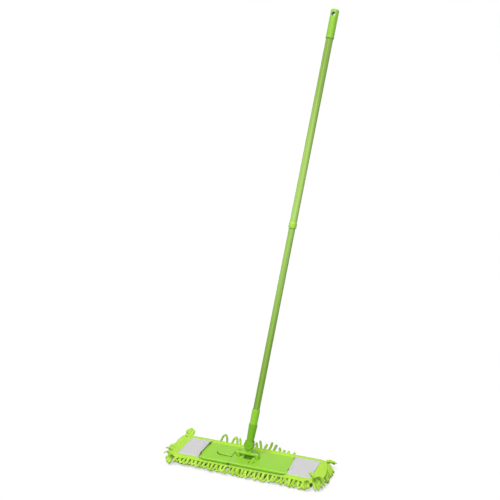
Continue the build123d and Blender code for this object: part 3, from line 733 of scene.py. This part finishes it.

# Tufts of the corners, each with its root, girth, tones, painted shade at the root, and tips.
corner_tufts = (
    ((-0.218, 0.068, 0.022), 0.0060, mellow, 0.0,
     ((-0.233, 0.084, 0.038), (-0.225, 0.088, 0.040), (-0.238, 0.075, 0.034), (-0.216, 0.086, 0.036),
      (-0.229, 0.080, 0.037))),
    ((-0.218, -0.066, 0.022), 0.0056, bright, 1.0,
     ((-0.229, -0.079, 0.008), (-0.221, -0.083, 0.006), (-0.236, -0.070, 0.014))),
    ((-0.228, -0.036, 0.025), 0.0024, olive, 0.0,
     ((-0.252, -0.040, 0.032), (-0.249, -0.064, 0.025))),
    ((0.218, 0.068, 0.022), 0.0034, olive, 0.0,
     ((0.252, 0.066, 0.024), (0.237, 0.078, 0.022), (0.244, 0.072, 0.017))),
    ((0.216, -0.050, 0.031), 0.0032, mellow, 0.0, ((0.199, -0.033, 0.037),)),
    ((0.218, -0.049, 0.028), 0.0042, bright, 1.0, ((0.239, -0.069, 0.006), (0.231, -0.073, 0.006))),
    ((0.225, -0.041, 0.029), 0.0040, olive, 1.0,
     ((0.251, -0.034, 0.016), (0.250, -0.045, 0.010), (0.247, -0.024, 0.010))),
    ((0.222, -0.046, 0.029), 0.0040, mellow, 1.0, ((0.246, -0.057, 0.007), (0.243, -0.063, 0.014))),
    ((0.206, -0.062, 0.025), 0.0048, bright, 1.0,
     ((0.197, -0.080, 0.006), (0.204, -0.081, 0.007), (0.190, -0.079, 0.007), (0.211, -0.076, 0.010))),
)
tuft_bow, tuft_swell = 0.004, 0.7
bunch_lean = Vector((-0.005, 0.007))
for foot, girth, tones, root_shade, tips in corner_tufts:
    for tip in tips:
        root = Vector(foot) + Vector((stir(0.003), stir(0.003), 0.0))
        bow = (stir(0.002), stir(0.002), tuft_bow)
        add_finger(root, tip, bow, girth, tuft_swell, tones=tones, root_shade=root_shade)
# The fingers under the corner bunch get painted shade towards their roots.
for root in under_bunch:
    lean = Vector((bunch_lean.x + stir(0.001), bunch_lean.y, finger_floor - root.z))
    add_finger(root, root + lean, root_shade=1.0)

# Loops along the back, and behind the loops of both long sides a row of fingers, olive and darkened
# towards the root, that puts painted shade into the gaps.
back_inset, back_root, back_skew = 0.003, 0.003, 0.004
back_out, back_clear = (0.008, 0.013), (0.0, 0.005)
for step in range(front_loops):
    x = fold_at.x + (step - loops_left) * loop_pitch + stir(loop_stir)
    y = pad_half.y - back_inset
    root = Vector((x, y, cloth_high.z + back_root + pad_rise(x, y)))
    foot = root + Vector((loop_pitch + stir(0.003), 0.0, 0.0))
    drop = root.z - finger_floor - draw.uniform(*back_clear)
    add_loop(root, foot, (stir(0.003) + back_skew, draw.uniform(*back_out), -drop))
shade_row_girth = 0.0056
shade_rows = ((front_rim + 0.008, -0.004), (pad_half.y - 0.010, 0.004))
for step in range(front_loops):
    off_fold = (step - loops_left + 0.5) * loop_pitch
    x = fold_at.x + copysign(max(abs(off_fold), fold_gap), off_fold)
    for y, lean in shade_rows:
        root = Vector((x, y, cloth_low.z + root_depth + pad_rise(x, y)))
        tip = Vector((x + stir(0.002), y + lean, finger_floor + abs(stir(0.0015))))
        add_finger(root, tip, girth=shade_row_girth, tones=olive, root_shade=1.0)


def start_points(name, chosen):
    """A mesh of one loose point for each finger, with what its shape follows as attributes."""
    mesh = bpy.data.meshes.new(name)
    mesh.from_pydata([finger["root"] for finger in chosen], [], [])
    for label in ("reach", "bow"):
        values = mesh.attributes.new(label, "FLOAT_VECTOR", "POINT")
        values.data.foreach_set("vector", [number for finger in chosen for number in finger[label]])
    for label in ("girth", "tone", "root_share", "free_end", "root_shade"):
        values = mesh.attributes.new(label, "FLOAT", "POINT")
        values.data.foreach_set("value", [finger[label] for finger in chosen])
    return mesh


# One piece for each body and kind. Those beside the fold get a mesh of their own.
finger_tree = chenille_fingers()
pile = chenille_pile()
in_fold, hanging, raised = [], [], []
for place, finger in enumerate(fingers):
    if finger["root_shade"] and abs(finger["root"].x - fold_at.x) < fold_strip:
        in_fold.append(finger)
    elif place < raised_from:
        hanging.append(finger)
    else:
        raised.append(finger)
short_rings, long_rings = 8, 14
for body, side in (("frame_right", "right"), ("frame_left", "left")):
    for name, group, rings in (("fingers", hanging, short_rings), ("fold_fingers", in_fold, short_rings),
                               ("raised_fingers", raised, long_rings)):
        chosen = [finger for finger in group if (finger["root"].x > fold_at.x) == (side == "right")]
        start = start_points("roots", chosen)
        tufts = finger_tree.grow("chenille_%s_%s" % (side, name), start, rings=rings, sides=7,
                                 lump_depth=0.0022, lump_size=260.0, seed=3.0, finish=pile)
        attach(tufts, body)
        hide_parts("chenille_" + side)
        if group is in_fold:
            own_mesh(tufts)

# Edge tape. A bright knitted tape is folded over the rim of the pad and sewn through all layers,
# so it is puffy between its two seams. Its inner edge lies against the wall of the plate, and
# climbs near its top beside the pockets.
pocket_low, pocket_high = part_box("pocket_right")
tape_inner = Vector((pocket_high.x, pocket_high.y - 0.001))
inner_corner = 0.006
plate_clearance, cloth_rest = 0.0006, 0.0002
pocket_seat = plate_high.z + cloth_rest
mouth_slant = 0.009
climb_from, climb_to = -0.020, 0.006
front_sink = 0.0020
arc_steps, long_steps, short_steps = 10, 130, 38


def rounded_loop(half, corner):
    """Points round a rectangle with round corners, anticlockwise from the front left corner."""
    turns = []
    for sign_x, sign_y, start in ((-1, -1, 180), (1, -1, 270), (1, 1, 0), (-1, 1, 90)):
        centre = Vector((sign_x * (half.x - corner), sign_y * (half.y - corner)))
        angles = [radians(start + 90 * k / arc_steps) for k in range(arc_steps + 1)]
        turns.append([centre + corner * Vector((cos(a), sin(a))) for a in angles])
    points = []
    for turn, following, steps in zip(turns, turns[1:] + turns[:1], (long_steps, short_steps) * 2):
        points += turn
        points += [turn[-1].lerp(following[0], k / steps) for k in range(1, steps)]
    return points


def mouth_start(side, y):
    """Where a pocket begins along the pad; the right one is sewn on slanted, longer at the back."""
    along_mouth = min(max(y / pocket_high.y, -1.0), 1.0)
    return pocket_low.x - (mouth_slant * (1 + along_mouth) / 2 if side > 0 else 0.0)


def pocket_climb(x, y):
    """0 beside the bare plate, 1 beside a pocket."""
    start = mouth_start(x, y)
    return soft_step(abs(x), start + climb_from, start + climb_to)


def tape_seat(x, y):
    """Height of the tape's inner edge: lower along the front, higher beside the pockets."""
    beside_wall = tape_high.z - (front_sink if y < 0 else 0.0)
    return beside_wall + (pocket_seat - beside_wall) * pocket_climb(x, y)


def beside_plate(point):
    """A point of the tape's inner edge, moved to the plate's wall where no pocket lies between."""
    tuck = tape_inner.y - plate_half.y - plate_clearance
    return Vector((point.x, point.y - copysign(tuck * (1 - pocket_climb(*point)), point.y)))


# Each point of the section is a share of the way from the inner edge to the rim and a level: 0 on the
# base cloth, 1 on the line between the edges, and above 1 a share of the puff.
tape_section = (
    (0.0, 0.70), (0.02, 0.93), (0.08, 1.05), (0.14, 0.98), (0.30, 1.18), (0.50, 1.26), (0.70, 1.18),
    (0.84, 0.97), (0.91, 1.04), (0.97, 1.0), (1.0, 0.88), (1.005, 0.70), (0.985, 0.56), (0.93, 0.48),
    (0.60, 0.02), (0.20, 0.02), (0.0, 0.06),
)
seam_inner, seam_outer = 3, 7
tape_puff, tape_width = 0.0054, 0.028
flare_from = pocket_high.x - 0.02
puckers = ((150.0, 0.0, 0.0005), (40.0, 4.0, 0.0008))
inner_loop = rounded_loop(tape_inner, inner_corner)
outer_loop = rounded_loop(pad_half, pad_corner)
tape_grid = []
for inner, outer in zip(inner_loop, outer_loop):
    foot = Vector((*beside_plate(inner), tape_seat(*inner)))
    edge = Vector((outer.x, outer.y if outer.y > 0 else outer.y * -front_rim / pad_half.y))
    edge.x += (right_rim(outer.y) - pad_half.x) * soft_step(outer.x, flare_from, pad_half.x)
    edge.x += (left_rim(outer.y) + pad_half.x) * soft_step(-outer.x, flare_from, pad_half.x)
    rim = Vector((*edge, tape_high.z + pad_rise(*edge)))
    ring = []
    for share, level in tape_section:
        spot = foot.lerp(rim, share)
        under = cloth_high.z + cloth_rest + pad_rise(spot.x, spot.y)
        pucker = sum(noise.noise(Vector((spot.x, spot.y, layer)) * scale) * depth
                     for scale, layer, depth in puckers)
        spot.z = under + min(level, 1.0) * (spot.z - under) + max(level - 1.0, 0.0) * tape_puff
        spot.z += pucker * sin(share * pi)
        ring.append(spot)
    tape_grid.append(ring)
tape_green = weave("tape_green", paint(181, 228, 62), pitch=0.0014, depth=0.0004, sheen=0.25)
tape = cloth_mesh("edge_tape", np.array(tape_grid), ring=True, tube=True)
dress_cloth(tape, tape_green)
tape_length = sum((b - a).length for a, b in zip(outer_loop, outer_loop[1:] + outer_loop[:1]))
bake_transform(tape)
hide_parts("edge_binding_left", "edge_binding_right")


def sewn_line():
    """One stitch of thread at every pitch along the start mesh's edges, half sunk in the cloth."""
    tree = Pattern("sewn_line", pitch="Float", length="Float", thread="Float", finish="Material")
    path = tree.node("GeometryNodeMeshToCurve", {}, {"Mesh": tree.given("Geometry")})
    marks = tree.node("GeometryNodeResampleCurve", {"mode": "LENGTH"},
                      {"Curve": path, "Length": tree.given("pitch")})
    along = tree.node("FunctionNodeAlignRotationToVector", {"axis": "X"},
                      {"Vector": tree.node("GeometryNodeInputTangent")})
    bead = tree.node("GeometryNodeMeshUVSphere", {}, {"Segments": 6, "Rings": 4, "Radius": 1.0})
    width = tree.given("thread")
    size = tree.node("ShaderNodeCombineXYZ", {},
                     {"X": tree.given("length") * 0.5, "Y": width, "Z": width})
    stitches = tree.node("GeometryNodeInstanceOnPoints", {},
                         {"Points": marks, "Instance": bead, "Rotation": along, "Scale": size})
    smooth = tree.node("GeometryNodeSetShadeSmooth", {}, {"Geometry": stitches})
    tree.close(smooth, tree.given("finish"))
    return tree


def line_mesh(name, lines, closed):
    """A mesh of edges only, along each line of points."""
    points, edges = [], []
    for line in lines:
        first = len(points)
        points += line
        edges += [(first + k, first + k + 1) for k in range(len(line) - 1)]
        if closed:
            edges.append((len(points) - 1, first))
    mesh = bpy.data.meshes.new(name)
    mesh.from_pydata(points, edges, [])
    return mesh


def twisted_thread(name, colour):
    """Spun polyester thread with a fine twist."""
    finish = Finish(name)
    twist = finish.noise(finish.place, scale=2600.0)
    return finish.surface(
        Base_Color=finish.mixed(twist, shade(colour, 0.8), shade(colour, 1.1)),
        Roughness=0.6 + twist * 0.2,
        Sheen_Weight=0.2,
        Normal=finish.bump(twist, depth=0.0002, strength=0.5),
    )


stitch_tree = sewn_line()
seam_lines = [[ring[k] for ring in tape_grid] for k in (seam_inner, seam_outer)]
tape_seams = line_mesh("tape_seams", seam_lines, closed=True)
tape_thread = twisted_thread("tape_thread", paint(170, 216, 74))
tape_stitches = stitch_tree.grow("tape_stitches", tape_seams, pitch=0.0042, length=0.0034,
                                 thread=0.00045, finish=tape_thread)
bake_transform(tape_stitches)

# Pockets. A white woven pocket is sewn over each end of the pad and pulled tight over the end of the
# plate. Its mouth is bowed, with a stitched hem that stands off the plate a little, and two bar tacks
# in rust-brown thread.
pocket_gap, pocket_tuck = 0.0011, 0.001
edge_turn = 0.001
hem_width, hem_height, hem_blend = 0.006, 0.0005, 0.001
mouth_bow, mouth_lift, lip_depth = 0.002, 0.0028, 0.016
slack_from, slack_to = 0.03, 0.05
pull_depth, pull_across, pull_along, pull_skew = 0.0007, 30, 24, 20
cloth_thickness = 0.0008
tack_place, tack_length, tack_inside = 0.029, 0.010, -0.0006
pocket_lines, pocket_points, hem_points, tack_points = 60, 80, 60, 10
hem_stitch = {"pitch": 0.0038, "length": 0.0030, "thread": 0.0004}
tack_stitch = {"pitch": 0.0011, "length": 0.0030, "thread": 0.0015}


def mouth_x(y, side):
    """Where the pocket's mouth lies, deeper in its middle."""
    return mouth_start(side, y) + mouth_bow * (1 - (y / pocket_high.y) ** 2)


def pocket_height(x, y, side):
    """Height of the cloth over the plate's end: flat on top, falling to the tape outside the plate.
    Away from the seams it is slack, so its lip stands up and it shows faint pulls."""
    past_side = soft_step(abs(y), plate_half.y - edge_turn, pocket_high.y)
    past_end = soft_step(x, plate_half.x - edge_turn, pocket_high.x)
    fall = 1 - (1 - past_side) * (1 - past_end)
    top = plate_high.z + pocket_gap
    inside = x - mouth_x(y, side)
    slack = 1 - soft_step(abs(y), slack_from, slack_to)
    hem = hem_height * (1 - soft_step(inside, hem_width - hem_blend, hem_width + hem_blend))
    lip = mouth_lift * (1 - soft_step(inside, 0.0, lip_depth)) * slack
    spot = Vector((x * pull_across, y * pull_along + x * pull_skew, side))
    pull = noise.noise(spot) * pull_depth * slack
    return top + (pocket_seat - pocket_tuck - top) * fall + hem + lip + pull


def sewn_on(inside, y, side):
    """A point of thread on the cloth, at a distance inside the mouth."""
    x = mouth_x(y, side) + inside
    return side * x, y, pocket_height(x, y, side) + cloth_thickness / 2


pocket_white = weave("pocket_white", paint(208, 207, 208), pitch=0.0009, depth=0.00018, sheen=0.05,
                     roughness=0.8)
hem_thread = twisted_thread("hem_thread", paint(198, 197, 196))
tack_thread = twisted_thread("tack_thread", paint(124, 82, 4))
for side, body, node in ((1, "frame_right", "pocket_right"), (-1, "frame_left", "pocket_left")):
    grid = []
    for share in np.linspace(0.0, 1.0, pocket_lines):
        line = []
        for y in np.linspace(-pocket_high.y, pocket_high.y, pocket_points):
            x = mouth_x(y, side) + share * (pocket_high.x - mouth_x(y, side))
            line.append((side * x, y, pocket_height(x, y, side)))
        grid.append(line)
    pocket = cloth_mesh(node + "_cloth", np.array(grid))
    dress_cloth(pocket, pocket_white)
    thicken(pocket, cloth_thickness)
    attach(pocket, body)
    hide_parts(node)
    hem_places = np.linspace(-plate_half.y, plate_half.y, hem_points)
    hem_line = [sewn_on(0.8 * hem_width, y, side) for y in hem_places]
    tacks = []
    for end in (-1, 1):
        tack_places = end * tack_place + np.linspace(0, end * tack_length, tack_points)
        tacks.append([sewn_on(tack_inside, y, side) for y in tack_places])
    for name, lines, stitch, thread in (("hem", [hem_line], hem_stitch, hem_thread),
                                        ("tacks", tacks, tack_stitch, tack_thread)):
        sewing = stitch_tree.grow("%s_%s" % (node, name), line_mesh(name, lines, closed=False),
                                  finish=thread, **stitch)
        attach(sewing, body)

# Studio. A pale floor in a white room, under soft light from both sides of the camera and from low
# behind the mop. The camera stands where the photograph was taken, with a lens that gives its frame.


def seen_rays(tree):
    """1 on rays that the camera sees, straight or by a mirror or a clear surface, 0 on all others."""
    kinds = ("Camera", "Glossy", "Transmission")
    camera, glossy, clear = [tree.node("ShaderNodeLightPath", output="Is %s Ray" % kind) for kind in kinds]
    return tree.math("MINIMUM", camera + glossy + clear, 1.0)


floor_reach = 40.0
floor_corners = [(x * floor_reach, y * floor_reach, 0.0) for x, y in ((-1, -1), (1, -1), (1, 1), (-1, 1))]
floor_shape = bpy.data.meshes.new("floor")
floor_shape.from_pydata(floor_corners, [], [(0, 1, 2, 3)])
floor = add_object("floor", floor_shape)
pale = Finish("pale_floor")
seen = seen_rays(pale)
floor_shape.materials.append(pale.surface(
    Base_Color=pale.mixed(seen, grey(0.2), grey(0.42)),
    Emission_Color=pale.mixed(seen, grey(0.0), grey(0.58)),
    Emission_Strength=1.0,
    Roughness=0.9,
    Specular_IOR_Level=0.0,
))

world = bpy.data.worlds.new("white_room")
world.use_nodes = True
bpy.context.scene.world = world
room = Tree(world.node_tree)
room_light = 0.18
background = world.node_tree.nodes["Background"]
room.feed(background.inputs["Color"], grey(1.0))
room.feed(background.inputs["Strength"], seen_rays(room) * (1 - room_light) + room_light)


def soft_lamp(name, azimuth, elevation, spread, strength):
    """A wide soft light that shines from a direction, given as for the views."""
    data = bpy.data.lights.new(name, "SUN")
    data.energy = strength
    data.angle = radians(spread)
    lamp = add_object(name, data)
    lamp.rotation_euler = Euler((radians(90 - elevation), 0.0, radians(azimuth)))


soft_lamp("key_left", azimuth=-14.0, elevation=63.0, spread=36.0, strength=2.08)
soft_lamp("fill_right", azimuth=27.0, elevation=42.0, spread=36.0, strength=1.1)
soft_lamp("low_back", azimuth=165.0, elevation=22.0, spread=50.0, strength=0.55)

camera_azimuth, camera_elevation = 21.589, 15.307
lens = bpy.data.cameras.new("camera")
lens.sensor_width = 36.0
lens.lens = 66.47
camera = add_object("camera", lens)
camera.location = (0.9141, -2.2969, 1.3416)
camera.rotation_euler = Euler((radians(90 - camera_elevation), 0.0, radians(camera_azimuth)))
bpy.context.scene.camera = camera
bpy.context.scene.view_settings.view_transform = "Standard"
